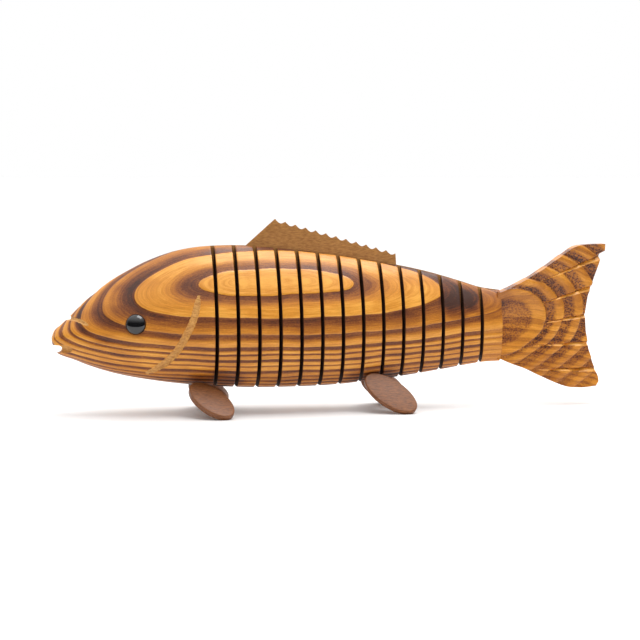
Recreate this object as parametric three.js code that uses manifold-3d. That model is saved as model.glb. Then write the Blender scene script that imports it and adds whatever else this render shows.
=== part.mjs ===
// Articulated wooden fish: a carved and torched pine fish, sawn across into thin slices that stay
// strung on one upright leather strip, so that the body bends from side to side.
// Millimetres, Z up. The snout points to -X, the tail to +X and the floor under the fins is Z = 0.

import * as THREE from 'three';
import { mergeVertices } from 'three/addons/utils/BufferGeometryUtils.js';
import Module from 'manifold-3d';

const wasm = await Module();
wasm.setup();

// Driving sizes of the body
const snoutX = -150;
const tailRootX = 91.2;
const sliceCount = 13;
const firstSlotX = -65.8;
const slotPitch = 11.18;
const slotWidth = 1.8;
const touchGap = 0.3;
const weldDistance = 1e-4;
const farOut = 400;

// Side view of the body as [x, z] stations from the snout to the root of the tail
const backStations = [
  [-150, 42.2], [-149.2, 44.3], [-147.6, 46.4], [-145.5, 48.1], [-143.5, 49.8], [-140, 53.2],
  [-133.5, 59.6], [-127, 65.1], [-119, 71.1], [-110, 76.4], [-100, 81.4], [-88, 85.8], [-75, 88.4],
  [-60, 89.3], [-45, 89.0], [-25, 87.2], [0, 84.0], [30, 78.9], [50, 74.6], [68, 69.4], [80, 65.7],
  [92, 63.8],
];
const bellyStations = [
  [-150, 39.2], [-149.3, 36.8], [-148.2, 34.4], [-146.8, 33.0], [-144, 31.6], [-139, 29.9],
  [-130, 26.2], [-118, 22.4], [-104, 19.3], [-86, 16.5], [-65, 14.4], [-42, 13.3], [-15, 13.3],
  [5, 14.2], [30, 16.8], [55, 20.2], [80, 24.0], [92, 24.6],
];
// Height of the widest line, and half of the body's width there
const widestStations = [
  [-150, 40.6], [-140, 42], [-125, 43], [-100, 43.5], [-66, 43.5], [-20, 41.5], [25, 45],
  [60, 46.5], [92, 44.5],
];
const halfWidthStations = [
  [-150, 3.0], [-149, 4.6], [-146.5, 6.4], [-142, 8.4], [-136, 10.6], [-125, 14.0], [-112, 17.0],
  [-98, 19.8], [-84, 21.6], [-66, 22.6], [-43, 22.0], [-21, 20.8], [1, 19.2], [24, 16.0], [46, 13.0],
  [68, 10.0], [80, 8.4], [92, 7.4],
];

// Section of the body: powers of the cosine and sine that narrow the back and flatten the belly
const backRound = 1.4;
const backSpread = 1.14;
const bellyRound = 0.83;
const bellySpread = 0.91;
const sectionSides = 36;
const headRings = 23;
const headRingBias = 1.5;
const stubRings = 3;

// Leather strip and the dorsal fin cut in one with it
const stripThickness = 1.6;
const stripFrontX = -88;
const stripRearX = 88.5;
const stripAboveBelly = 6;
const stripBelowBack = 0.3;
const kerfAboveBack = 30;
const stripEdgeStep = 4;
const stripLowerSteps = 24;
const dorsalFrontX = -48.3;
const dorsalPeak = [-32.2, 102.8];
const dorsalRear = [33.5, 84.2];
const dorsalRearFootX = 31.9;
const toothCount = 13;
const toothDepth = 1.6;
const valleyPoints = 5;

// Tail fan
const fanRootHalf = 4.4;
const fanEndHalf = 3.3;
const fanEndX = 150;
const fanInset = 1.4;
const fanCurveSegments = 3;
const rayRadius = 1.9;
const raySides = 4;
const rayLines = [
  [112.5, 67.8, 151, 83.2], [112.5, 55.6, 147, 66.4], [112.5, 45.0, 145, 50.6],
  [110, 33.0, 146, 34.7], [108.5, 19.9, 151, 19.9],
];
const scoop = { x: 92, z: 45.5, reachX: 25, reachZ: 18.5, depth: 2.3, radiusY: 9, sides: 24 };

// Eyes, mouth, brow cut and gill cuts on the head
const eye = { x: -107.4, z: 49.3, radius: 5.2, rise: 2.8, seatDepth: 1.6, proud: 0.1 };
const eyeSides = 20;
const domeSteps = 5;
const mouth = { x: -146.8, z: 35.8, radius: 2.15, sides: 20 };
const mouthCorner = { x: -144.6, radius: 3.6, stretchX: 1.35, stretchZ: 0.72, sides: 14, rings: 8 };
const browLine = [[-141.4, 0, 51.9], [-139.4, 5.2, 52.2], [-136.2, 8.6, 51.2], [-131.6, 12.6, 49.0]];
const browRadius = 1.6;
const gillLine = [
  [-74.2, 66.5, 2.4], [-75.6, 60, 1.3], [-77.4, 53, 0.7], [-80.8, 45.3, 0.55], [-86.5, 35.5, 0.5],
  [-92, 29.4, 0.6], [-97.4, 25.5, 1.0], [-103, 22.6, 2.2],
];
const gillRadius = 2.1;
const grooveSides = 8;
const grooveSteps = 16;

// Paddle fins: where the middle of the oval is, its long way from root to tip, and its outer face
const frontFin = {
  middle: [-68.8, -20.2, 8.9], along: [0.67, -0.52, -0.53], face: [0.14, -0.61, 0.78],
  length: 28.6, width: 16.6, thickness: 3.6,
};
const rearFin = {
  middle: [27.0, -17.2, 10.2], along: [0.77, -0.36, -0.53], face: [0.04, -0.80, 0.60],
  length: 32.0, width: 16.2, thickness: 3.3,
};
const finSegments = 28;
const floorBlock = 60;
const neighbourClearance = 1.3;
const finSeat = { reachX: 6.0, reachZ: 4.2, height: 4.2, depth: 0.7, sides: 16 };
const rearFinSlice = 9;
const rightFinSetback = 3;
const frontSeat = { x: -72.5, z: 20.6 };
const rearSeat = { x: 28.2, z: 22.2 };

const wood = new THREE.MeshStandardMaterial({ color: 0xa8692c, roughness: 0.42, metalness: 0 });
const paleWood = new THREE.MeshStandardMaterial({ color: 0xb87a34, roughness: 0.42, metalness: 0 });
const finWood = new THREE.MeshStandardMaterial({ color: 0x8a5a34, roughness: 0.5, metalness: 0 });
const leather = new THREE.MeshStandardMaterial({ color: 0xa57a45, roughness: 0.6, metalness: 0 });
const blackGlass = new THREE.MeshStandardMaterial({ color: 0x08080a, roughness: 0.05, metalness: 0 });

// A smooth value along the fish through its stations
function through(stations) {
  const last = stations.length - 1;
  const slopeAt = (i) => {
    const before = stations[Math.max(i - 1, 0)];
    const after = stations[Math.min(i + 1, last)];
    return (after[1] - before[1]) / (after[0] - before[0]);
  };
  return (x) => {
    const held = THREE.MathUtils.clamp(x, stations[0][0], stations[last][0]);
    let i = 0;
    while (i < last - 1 && held > stations[i + 1][0]) i += 1;
    const span = stations[i + 1][0] - stations[i][0];
    const t = (held - stations[i][0]) / span;
    const startPull = slopeAt(i) * span * (t ** 3 - 2 * t ** 2 + t);
    const endPull = slopeAt(i + 1) * span * (t ** 3 - t ** 2);
    const start = stations[i][1] * (2 * t ** 3 - 3 * t ** 2 + 1);
    const end = stations[i + 1][1] * (3 * t ** 2 - 2 * t ** 3);
    return start + end + startPull + endPull;
  };
}
const backZ = through(backStations);
const bellyZ = through(bellyStations);
const widestZ = through(widestStations);
const halfWidth = through(halfWidthStations);

// Point of the skin at one station, from the cosine and sine of an angle round the section
function skinPoint(x, side, up, grow) {
  const widest = widestZ(x);
  const isBack = up > 0;
  const reach = isBack ? backZ(x) + grow - widest : bellyZ(x) - grow - widest;
  const round = isBack ? backRound : bellyRound;
  const spread = isBack ? backSpread : bellySpread;
  const y = Math.sign(side) * (halfWidth(x) + grow) * Math.abs(side) ** round;
  return [x, y, widest + reach * Math.abs(up) ** spread];
}

// Half width of the skin at a height
function skinY(x, z) {
  const widest = widestZ(x);
  const isBack = z > widest;
  const share = (z - widest) / ((isBack ? backZ(x) : bellyZ(x)) - widest);
  const sine = Math.min(share, 1) ** (1 / (isBack ? backSpread : bellySpread));
  return halfWidth(x) * Math.sqrt(1 - sine ** 2) ** (isBack ? backRound : bellyRound);
}

// Outward direction of the left side of the skin, the side at -Y
function skinNormal(x, z) {
  const step = 0.5;
  const slopeX = (skinY(x + step, z) - skinY(x - step, z)) / (2 * step);
  const slopeZ = (skinY(x, z + step) - skinY(x, z - step)) / (2 * step);
  return new THREE.Vector3(-slopeX, -1, -slopeZ).normalize();
}

// A three.js geometry as a solid that can be joined and cut
function solid(geometry) {
  const bare = geometry.index ? geometry.toNonIndexed() : geometry.clone();
  bare.deleteAttribute('normal');
  bare.deleteAttribute('uv');
  const merged = mergeVertices(bare, weldDistance);
  return new wasm.Manifold(new wasm.Mesh({
    numProp: 3,
    vertProperties: new Float32Array(merged.attributes.position.array),
    triVerts: new Uint32Array(merged.index.array),
  }));
}

function placed(geometry, matrix) {
  return solid(geometry.clone().applyMatrix4(matrix));
}

function mirrored(shape) {
  return shape.mirror([0, 1, 0]);
}

// A stretch of the body: a cylinder whose rings are drawn out to the sections
function bodyStretch(startX, endX, rings, bias = 1, grow = 0) {
  const geometry = new THREE.CylinderGeometry(1, 1, 1, sectionSides, rings);
  const points = geometry.attributes.position;
  for (let i = 0; i < points.count; i += 1) {
    const x = startX + (endX - startX) * (points.getY(i) + 0.5) ** bias;
    const isHub = Math.hypot(points.getX(i), points.getZ(i)) < weldDistance;
    const spot = isHub ? [x, 0, widestZ(x)] : skinPoint(x, points.getZ(i), points.getX(i), grow);
    points.setXYZ(i, ...spot);
  }
  return solid(geometry);
}

// A flat outline in the XZ plane with an even thickness about Y = 0
function plate(shape, thickness, curveSegments = 1) {
  const geometry = new THREE.ExtrudeGeometry(shape, { depth: thickness, bevelEnabled: false, curveSegments });
  geometry.translate(0, 0, -thickness / 2);
  geometry.rotateX(Math.PI / 2);
  return geometry;
}

// A round tube along a smooth curve
function tube(points, radius) {
  const path = new THREE.CatmullRomCurve3(points, false, 'centripetal');
  const section = new THREE.Shape();
  section.absarc(0, 0, radius, 0, Math.PI * 2);
  return solid(new THREE.ExtrudeGeometry(section, {
    steps: grooveSteps, extrudePath: path, curveSegments: grooveSides / 2, bevelEnabled: false,
  }));
}

// Block between two stations, larger than the fish the other ways
function slab(startX, endX) {
  const box = new THREE.BoxGeometry(endX - startX, farOut, farOut);
  return solid(box.translate((startX + endX) / 2, 0, 0));
}

const slotX = Array.from({ length: sliceCount + 1 }, (unused, i) => firstSlotX + slotPitch * i);
const headEndX = slotX[0] - slotWidth / 2;
const tailStartX = slotX[sliceCount] + slotWidth / 2;

// Outline of the strip from the side, with the scalloped dorsal fin standing on its back edge
function stripShape() {
  const edge = new THREE.Shape();
  const step = stripEdgeStep;
  const backEdge = (x) => backZ(x) - stripBelowBack;
  edge.moveTo(stripFrontX, bellyZ(stripFrontX) + stripAboveBelly);
  edge.lineTo(stripFrontX, backEdge(stripFrontX));
  for (let x = stripFrontX + step; x < dorsalFrontX - step / 2; x += step) edge.lineTo(x, backEdge(x));
  edge.lineTo(dorsalFrontX, backEdge(dorsalFrontX));
  const pitchX = (dorsalRear[0] - dorsalPeak[0]) / (toothCount - 1);
  const pitchZ = (dorsalRear[1] - dorsalPeak[1]) / (toothCount - 1);
  for (let tooth = 0; tooth < toothCount; tooth += 1) {
    const peakX = dorsalPeak[0] + pitchX * tooth;
    const peakZ = dorsalPeak[1] + pitchZ * tooth;
    edge.lineTo(peakX, peakZ);
    for (let i = 1; i < valleyPoints && tooth < toothCount - 1; i += 1) {
      const share = i / valleyPoints;
      const dip = toothDepth * Math.sin(Math.PI * share);
      edge.lineTo(peakX + pitchX * share, peakZ + pitchZ * share - dip);
    }
  }
  edge.lineTo(dorsalRearFootX, backEdge(dorsalRearFootX));
  for (let x = dorsalRearFootX + step; x < stripRearX; x += step) edge.lineTo(x, backEdge(x));
  edge.lineTo(stripRearX, backEdge(stripRearX));
  const length = stripRearX - stripFrontX;
  for (let i = 0; i < stripLowerSteps; i += 1) {
    const x = stripRearX - length * i / stripLowerSteps;
    edge.lineTo(x, bellyZ(x) + stripAboveBelly);
  }
  edge.closePath();
  return edge;
}

// Saw kerf that the strip sits in, open along the back
function kerfCut() {
  const edge = new THREE.Shape();
  const front = stripFrontX - touchGap;
  const rear = stripRearX + touchGap;
  const floorZ = (x) => bellyZ(x) + stripAboveBelly - touchGap;
  edge.moveTo(front, floorZ(front));
  edge.lineTo(front, backZ(front) + kerfAboveBack);
  edge.lineTo(rear, backZ(front) + kerfAboveBack);
  for (let i = 0; i < stripLowerSteps; i += 1) {
    const x = rear - (rear - front) * i / stripLowerSteps;
    edge.lineTo(x, floorZ(x));
  }
  edge.closePath();
  return solid(plate(edge, stripThickness + 2 * touchGap));
}
const kerf = kerfCut();

// Seat cut flat into the flank where a paddle fin is glued on
function seatCut(seat) {
  const y = skinY(seat.x, seat.z);
  const out = skinNormal(seat.x, seat.z);
  const disc = new THREE.CylinderGeometry(1, 1, finSeat.height, finSeat.sides);
  disc.scale(finSeat.reachX, 1, finSeat.reachZ);
  const turn = new THREE.Quaternion().setFromUnitVectors(new THREE.Vector3(0, 1, 0), out);
  const middle = new THREE.Vector3(seat.x, -y, seat.z);
  middle.addScaledVector(out, finSeat.height / 2 - finSeat.depth);
  const matrix = new THREE.Matrix4().compose(middle, turn, new THREE.Vector3(1, 1, 1));
  return placed(disc, matrix);
}

function setBack(part) {
  return { ...part, x: part.x + rightFinSetback };
}

function cutFinSeats(shape, seat) {
  return shape.subtract(seatCut(seat)).subtract(mirrored(seatCut(setBack(seat))));
}

function cutBothSides(shape, cutter) {
  return shape.subtract(cutter).subtract(mirrored(cutter));
}

// Round gouge from the front for the mouth, with a scooped corner on each side
function cutMouth(shape) {
  const bore = new THREE.CylinderGeometry(mouth.radius, mouth.radius, farOut, mouth.sides);
  const opening = new THREE.BoxGeometry(mouth.radius * 4, farOut, mouth.radius * 2);
  const corner = new THREE.SphereGeometry(mouthCorner.radius, mouthCorner.sides, mouthCorner.rings);
  corner.scale(mouthCorner.stretchX, 1, mouthCorner.stretchZ);
  const cornerY = -skinY(mouthCorner.x, mouth.z) - mouthCorner.radius / 2;
  const cornerCut = solid(corner.translate(mouthCorner.x, cornerY, mouth.z));
  const throat = solid(bore.translate(mouth.x, 0, mouth.z));
  const front = solid(opening.translate(mouth.x - mouth.radius * 2, 0, mouth.z));
  return cutBothSides(shape.subtract(throat).subtract(front), cornerCut);
}

// Gouge that runs over the snout from side to side below the brow
function cutBrow(shape) {
  const left = browLine.slice(1).reverse().map(([x, y, z]) => new THREE.Vector3(x, -y, z));
  const right = browLine.slice(1).map(([x, y, z]) => new THREE.Vector3(x, y, z));
  const middle = new THREE.Vector3(...browLine[0]);
  return shape.subtract(tube([...left, middle, ...right], browRadius));
}

// Gill gouges that sweep down and forward, deepest half way and running out at both ends
function cutGills(shape) {
  const points = gillLine.map(([x, z, lift]) => {
    const spot = new THREE.Vector3(x, -skinY(x, z), z);
    return spot.addScaledVector(skinNormal(x, z), lift);
  });
  return cutBothSides(shape, tube(points, gillRadius));
}

// Turns something made upright about Y to stand out of the skin at the eye
function eyeMatrix() {
  const out = skinNormal(eye.x, eye.z);
  const turn = new THREE.Quaternion().setFromUnitVectors(new THREE.Vector3(0, 1, 0), out);
  const spot = new THREE.Vector3(eye.x, -skinY(eye.x, eye.z), eye.z);
  return new THREE.Matrix4().compose(spot, turn, new THREE.Vector3(1, 1, 1));
}

function cutEyeSeats(shape) {
  const deep = eye.seatDepth + touchGap;
  const radius = eye.radius + touchGap;
  const bore = new THREE.CylinderGeometry(radius, radius, deep * 2, eyeSides);
  return cutBothSides(shape, placed(bore, eyeMatrix()));
}

// Domed eye on a short plug
function eyeBall() {
  const profile = [new THREE.Vector2(0, -eye.seatDepth), new THREE.Vector2(eye.radius, -eye.seatDepth)];
  for (let i = 0; i <= domeSteps; i += 1) {
    const angle = (Math.PI / 2) * i / domeSteps;
    const reach = i === domeSteps ? 0 : eye.radius * Math.cos(angle);
    profile.push(new THREE.Vector2(reach, eye.proud + eye.rise * Math.sin(angle)));
  }
  return placed(new THREE.LatheGeometry(profile, eyeSides), eyeMatrix());
}

function makeHead() {
  const block = bodyStretch(snoutX, headEndX, headRings, headRingBias);
  const carved = cutEyeSeats(cutGills(cutBrow(cutMouth(block))));
  return cutFinSeats(carved.subtract(kerf), frontSeat);
}

function makeSlice(index) {
  const stretch = bodyStretch(slotX[index] + slotWidth / 2, slotX[index + 1] - slotWidth / 2, 1);
  return cutFinSeats(stretch.subtract(kerf), rearSeat);
}

// Side view of the tail fan
function fanShape() {
  const fan = new THREE.Shape();
  const rootTop = backZ(tailRootX) - fanInset;
  const rootBottom = bellyZ(tailRootX) + fanInset;
  fan.moveTo(tailRootX - slotPitch / 2, rootBottom);
  fan.lineTo(tailRootX - slotPitch / 2, rootTop);
  fan.lineTo(tailRootX, rootTop);
  fan.splineThru([
    new THREE.Vector2(99.3, 66.2), new THREE.Vector2(108.5, 70.9), new THREE.Vector2(117.7, 76.7),
    new THREE.Vector2(126.3, 82.6), new THREE.Vector2(133, 86.8), new THREE.Vector2(140, 88.0),
    new THREE.Vector2(150, 88.3),
  ]);
  fan.lineTo(150, 84.6);
  fan.lineTo(146.6, 82.8);
  fan.lineTo(147.3, 80.0);
  fan.splineThru([
    new THREE.Vector2(143.8, 69.2), new THREE.Vector2(140.6, 60.0), new THREE.Vector2(139.2, 50.6),
    new THREE.Vector2(139.6, 40.7), new THREE.Vector2(141.4, 30.5), new THREE.Vector2(144.4, 21.4),
    new THREE.Vector2(147.0, 15.6),
  ]);
  fan.splineThru([new THREE.Vector2(147.3, 12.6), new THREE.Vector2(145.8, 10.2)]);
  fan.splineThru([
    new THREE.Vector2(137, 9.4), new THREE.Vector2(127.8, 10.5), new THREE.Vector2(116, 15.4),
    new THREE.Vector2(105.5, 20.4), new THREE.Vector2(97.5, 23.3), new THREE.Vector2(tailRootX, rootBottom),
  ]);
  return fan;
}

// Half thickness of the fan, which thins towards its edge
function fanHalf(x) {
  return THREE.MathUtils.lerp(fanRootHalf, fanEndHalf, (x - tailRootX) / (fanEndX - tailRootX));
}

// Carved tail: the stub of the body and the fan, with a scoop and five V cuts on each side
function makeTail() {
  const fan = plate(fanShape(), 2, fanCurveSegments);
  const points = fan.attributes.position;
  for (let i = 0; i < points.count; i += 1) {
    points.setY(i, points.getY(i) * fanHalf(points.getX(i)));
  }
  const hollow = new THREE.SphereGeometry(1, scoop.sides, scoop.sides);
  hollow.scale(scoop.reachX, scoop.radiusY, scoop.reachZ);
  hollow.translate(scoop.x, -fanRootHalf - scoop.radiusY + scoop.depth, scoop.z);
  let tail = cutBothSides(solid(fan), solid(hollow));
  for (const [startX, startZ, endX, endZ] of rayLines) {
    const from = new THREE.Vector3(startX, -fanHalf(startX), startZ);
    const to = new THREE.Vector3(endX, -fanHalf(endX), endZ);
    const along = to.clone().sub(from);
    const cone = new THREE.ConeGeometry(rayRadius, along.length(), raySides);
    const turn = new THREE.Quaternion();
    turn.setFromUnitVectors(new THREE.Vector3(0, 1, 0), along.clone().negate().normalize());
    const middle = from.clone().add(to).multiplyScalar(0.5);
    const matrix = new THREE.Matrix4().compose(middle, turn, new THREE.Vector3(1, 1, 1));
    tail = cutBothSides(tail, placed(cone, matrix));
  }
  const stub = bodyStretch(tailStartX, tailRootX, stubRings);
  const outside = slab(tailStartX - slotPitch, tailStartX);
  return tail.subtract(outside).add(stub).subtract(kerf);
}

// One length of the strip, from hinge line to hinge line
const wholeStrip = solid(plate(stripShape(), stripThickness));
function makeStripLength(startX, endX) {
  return wholeStrip.intersect(slab(startX, endX));
}

// Paddle fin on the left side, trimmed where it meets the body and flat where it stands
function makeFin(fin, ownStartX, ownEndX, seat, setback) {
  const oval = new THREE.Shape();
  oval.absellipse(0, 0, fin.length / 2, fin.width / 2, 0, Math.PI * 2);
  const board = new THREE.ExtrudeGeometry(oval, {
    depth: fin.thickness, bevelEnabled: false, curveSegments: finSegments / 2,
  });
  board.translate(0, 0, -fin.thickness / 2);
  const face = new THREE.Vector3(...fin.face).normalize();
  const along = new THREE.Vector3(...fin.along);
  along.addScaledVector(face, -along.dot(face)).normalize();
  const across = face.clone().cross(along);
  const matrix = new THREE.Matrix4().makeBasis(along, across, face);
  matrix.setPosition(fin.middle[0] + setback, fin.middle[1], fin.middle[2]);
  const floor = new THREE.BoxGeometry(floorBlock, floorBlock, floorBlock);
  floor.translate(fin.middle[0], fin.middle[1], -floorBlock / 2);
  const own = bodyStretch(ownStartX, ownEndX, 2, 1, touchGap).subtract(seatCut(seat));
  const before = bodyStretch(ownStartX - 2 * slotPitch, ownStartX, 2, 1, neighbourClearance);
  const after = bodyStretch(ownEndX, ownEndX + 2 * slotPitch, 2, 1, neighbourClearance);
  return placed(board, matrix).subtract(solid(floor)).subtract(own).subtract(before).subtract(after);
}

const fish = new THREE.Group();

function addPiece(name, shape, material) {
  const mesh = shape.getMesh();
  const geometry = new THREE.BufferGeometry();
  geometry.setAttribute('position', new THREE.BufferAttribute(new Float32Array(mesh.vertProperties), 3));
  geometry.setIndex(new THREE.BufferAttribute(new Uint32Array(mesh.triVerts), 1));
  geometry.computeVertexNormals();
  const piece = new THREE.Mesh(geometry, material);
  piece.name = name;
  fish.add(piece);
}

function numbered(base, number) {
  return `${base}_${String(number).padStart(2, '0')}`;
}

addPiece('head', makeHead(), wood);
for (let i = 0; i < sliceCount; i += 1) {
  addPiece(numbered('slice', i + 1), makeSlice(i), i % 2 ? wood : paleWood);
}
addPiece('tail', makeTail(), paleWood);

const hingeGap = touchGap / 2;
addPiece('strip_head', makeStripLength(stripFrontX - 1, slotX[0] - hingeGap), leather);
for (let i = 0; i < sliceCount; i += 1) {
  const length = makeStripLength(slotX[i] + hingeGap, slotX[i + 1] - hingeGap);
  addPiece(numbered('strip', i + 1), length, leather);
}
addPiece('strip_tail', makeStripLength(slotX[sliceCount] + hingeGap, stripRearX + 1), leather);

function frontPaddle(seat, setback) {
  return makeFin(frontFin, headEndX - 2 * slotPitch, headEndX, seat, setback);
}

function rearPaddle(seat, setback) {
  const startX = slotX[rearFinSlice - 1] + slotWidth / 2;
  return makeFin(rearFin, startX, slotX[rearFinSlice] - slotWidth / 2, seat, setback);
}

addPiece('fin_front_left', frontPaddle(frontSeat, 0), finWood);
addPiece('fin_front_right', mirrored(frontPaddle(setBack(frontSeat), rightFinSetback)), finWood);
addPiece('fin_rear_left', rearPaddle(rearSeat, 0), finWood);
addPiece('fin_rear_right', mirrored(rearPaddle(setBack(rearSeat), rightFinSetback)), finWood);

const leftEye = eyeBall();
addPiece('eye_left', leftEye, blackGlass);
addPiece('eye_right', mirrored(leftEye), blackGlass);

export default fish;
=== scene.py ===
# The looks of the jointed wooden fish: torched and brushed pine, leather strip and fin, bead eyes.
import math
import bpy
import numpy as np
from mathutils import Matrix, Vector


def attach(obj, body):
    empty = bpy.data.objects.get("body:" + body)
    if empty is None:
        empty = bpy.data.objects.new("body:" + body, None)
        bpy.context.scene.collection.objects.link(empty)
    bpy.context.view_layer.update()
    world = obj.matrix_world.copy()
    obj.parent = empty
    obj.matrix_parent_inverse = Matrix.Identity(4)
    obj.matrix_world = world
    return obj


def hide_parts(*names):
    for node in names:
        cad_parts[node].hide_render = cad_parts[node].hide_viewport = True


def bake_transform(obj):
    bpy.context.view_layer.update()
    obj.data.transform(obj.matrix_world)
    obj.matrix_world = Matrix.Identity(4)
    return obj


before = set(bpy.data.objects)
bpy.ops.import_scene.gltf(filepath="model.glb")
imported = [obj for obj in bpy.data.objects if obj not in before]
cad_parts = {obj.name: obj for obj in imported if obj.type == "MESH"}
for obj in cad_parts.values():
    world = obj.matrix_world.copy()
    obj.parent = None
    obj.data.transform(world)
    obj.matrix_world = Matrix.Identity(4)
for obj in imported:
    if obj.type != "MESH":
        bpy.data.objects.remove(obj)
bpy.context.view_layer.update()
mm = 0.001
print("frame loaded")

# the carved body, in mm: side view, widest line and half width from the snout to the tail's root
body = {
    "back": [(-150, 42.2), (-149.2, 44.3), (-147.6, 46.4), (-145.5, 48.1), (-143.5, 49.8), (-140, 53.2),
             (-133.5, 59.6), (-127, 65.1), (-119, 71.1), (-110, 76.4), (-100, 81.4), (-88, 85.8), (-75, 88.4),
             (-60, 89.3), (-45, 89.0), (-25, 87.2), (0, 84.0), (30, 78.9), (50, 74.6), (68, 69.4), (80, 65.7),
             (92, 63.8)],
    "belly": [(-150, 39.2), (-149.3, 36.8), (-148.2, 34.4), (-146.8, 33.0), (-144, 31.6), (-139, 29.9),
              (-130, 26.2), (-118, 22.4), (-104, 19.3), (-86, 16.5), (-65, 14.4), (-42, 13.3), (-15, 13.3),
              (5, 14.2), (30, 16.8), (55, 20.2), (80, 24.0), (92, 24.6)],
    "widest": [(-150, 40.6), (-140, 42), (-125, 43), (-100, 43.5), (-66, 43.5), (-20, 41.5), (25, 45),
               (60, 46.5), (92, 44.5)],
    "halfWidth": [(-150, 3.0), (-149, 4.6), (-146.5, 6.4), (-142, 8.4), (-136, 10.6), (-125, 14.0),
                  (-112, 17.0), (-98, 19.8), (-84, 21.6), (-66, 22.6), (-43, 22.0), (-21, 20.8), (1, 19.2),
                  (24, 16.0), (46, 13.0), (68, 10.0), (80, 8.4), (92, 7.4)],
    "backRound": 1.4, "backSpread": 1.14, "bellyRound": 0.83, "bellySpread": 0.91,
    "snout": -150, "tailRoot": 91.2, "slices": 13,
    "firstSlot": -65.8, "slotPitch": 11.18, "slotWidth": 1.8,
    "sides": 380,            # points round a section
    "ringStep": 0.55,        # distance between rings of points
    "edgeRound": 0.5,        # how far the sawn edges are rubbed round
}
slotX = [body["firstSlot"] + body["slotPitch"] * i for i in range(body["slices"] + 1)]

# the tree's growth rings: where the pith runs beside the fish, and how far out each ring ends, in mm
tree = {
    "middleX": -20, "stretch": 100,
    "pithY": (-23.6, -0.3, -6.6, 3.3), "pithZ": (75.5, 1.9, -3.6, -2.7), "drift": (0, -2.9, 5.9, 3.4, -2.05),
    "squeeze": 0.97,
    # each ring: where it ends, how light its soft wood and its hard wood are, and the shares between which it turns
    "rings": [(13.4, 0.9, 0.95, 0, 1), (23.7, 0.24, 0.93, 0.08, 0.55), (32.0, 0.14, 0.7, 0.12, 0.9),
              (38.2, 0.22, 0.86, 0.15, 0.75), (41.7, 0.24, 0.9, 0.38, 0.72), (44.6, 0.3, 0.84, 0.2, 0.45),
              (47.9, 0.22, 0.86, 0.32, 0.58), (50.6, 0.38, 0.86, 0.16, 0.4), (54.2, 0.16, 0.66, 0.3, 0.6),
              (56.3, 0.26, 0.62, 0.2, 0.5), (58.7, 0.16, 0.64, 0.3, 0.6), (61.4, 0.22, 0.66, 0.2, 0.5),
              (64.0, 0.16, 0.62, 0.3, 0.6), (66.9, 0.3, 0.72, 0.2, 0.5), (69.3, 0.2, 0.7, 0.3, 0.7),
              (72.4, 0.3, 0.76, 0.2, 0.5), (75.0, 0.22, 0.72, 0.3, 0.6), (78.0, 0.3, 0.78, 0.2, 0.5),
              (81.2, 0.2, 0.72, 0.3, 0.7), (84.0, 0.3, 0.76, 0.2, 0.5), (88.0, 0.22, 0.72, 0.3, 0.6),
              (92.0, 0.3, 0.72, 0.2, 0.5)],
    "fallFrom": 0.965,       # share of a ring at which its light wood falls off to the next
    "brushDepth": 0.34,      # how deep the wire brush has eaten into the soft dark wood
}
ringEnds = [0] + [ring[0] for ring in tree["rings"]]
outermost = ringEnds[-1]


# a smooth value along the fish through its stations
def through(stations):
    xs, values = np.array(stations, float).T
    last = len(xs) - 1
    ahead = np.minimum(np.arange(last + 1) + 1, last)
    behind = np.maximum(np.arange(last + 1) - 1, 0)
    slopes = (values[ahead] - values[behind]) / (xs[ahead] - xs[behind])

    def at(x):
        x = np.clip(x, xs[0], xs[-1])
        i = np.clip(np.searchsorted(xs, x, side="right") - 1, 0, last - 1)
        span = xs[i + 1] - xs[i]
        t = (x - xs[i]) / span
        start = values[i] * (2 * t ** 3 - 3 * t ** 2 + 1) + slopes[i] * span * (t ** 3 - 2 * t ** 2 + t)
        end = values[i + 1] * (3 * t ** 2 - 2 * t ** 3) + slopes[i + 1] * span * (t ** 3 - t ** 2)
        return start + end
    return at


backZ, bellyZ = through(body["back"]), through(body["belly"])
widestZ, halfWidth = through(body["widest"]), through(body["halfWidth"])


def skinPoint(x, angle, grow=0.0):
    side, up = np.cos(angle), np.sin(angle)
    onBack = up > 0
    reach = np.where(onBack, backZ(x) + grow - widestZ(x), bellyZ(x) - grow - widestZ(x))
    roundness = np.where(onBack, body["backRound"], body["bellyRound"])
    spread = np.where(onBack, body["backSpread"], body["bellySpread"])
    y = np.sign(side) * (halfWidth(x) + grow) * np.abs(side) ** roundness
    return np.stack([x, y, widestZ(x) + reach * np.abs(up) ** spread], -1)


def skinY(x, z):
    onBack = z > widestZ(x)
    share = (z - widestZ(x)) / (np.where(onBack, backZ(x), bellyZ(x)) - widestZ(x))
    sine = np.clip(share, 0, 1) ** (1 / np.where(onBack, body["backSpread"], body["bellySpread"]))
    return halfWidth(x) * np.sqrt(1 - sine ** 2) ** np.where(onBack, body["backRound"], body["bellyRound"])


# angles that stand evenly spaced round the skin, for shares from 0 to 1
roundAngles = np.linspace(0, 2 * math.pi, 2001)
roundSteps = np.linalg.norm(np.diff(skinPoint(np.full(2001, -20.0), roundAngles), axis=0), axis=1)
roundShares = np.concatenate([[0], np.cumsum(roundSteps)]) / roundSteps.sum()


# outward direction of the left flank, the one at -Y
def skinNormal(x, z, step=0.5):
    slopeX = (skinY(x + step, z) - skinY(x - step, z)) / (2 * step)
    slopeZ = (skinY(x, z + step) - skinY(x, z - step)) / (2 * step)
    return Vector((-float(slopeX), -1, -float(slopeZ))).normalized()


def polynomial(factors, x):
    total = factors[-1]
    for factor in reversed(factors[:-1]):
        total = total * x + factor
    return total


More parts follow.
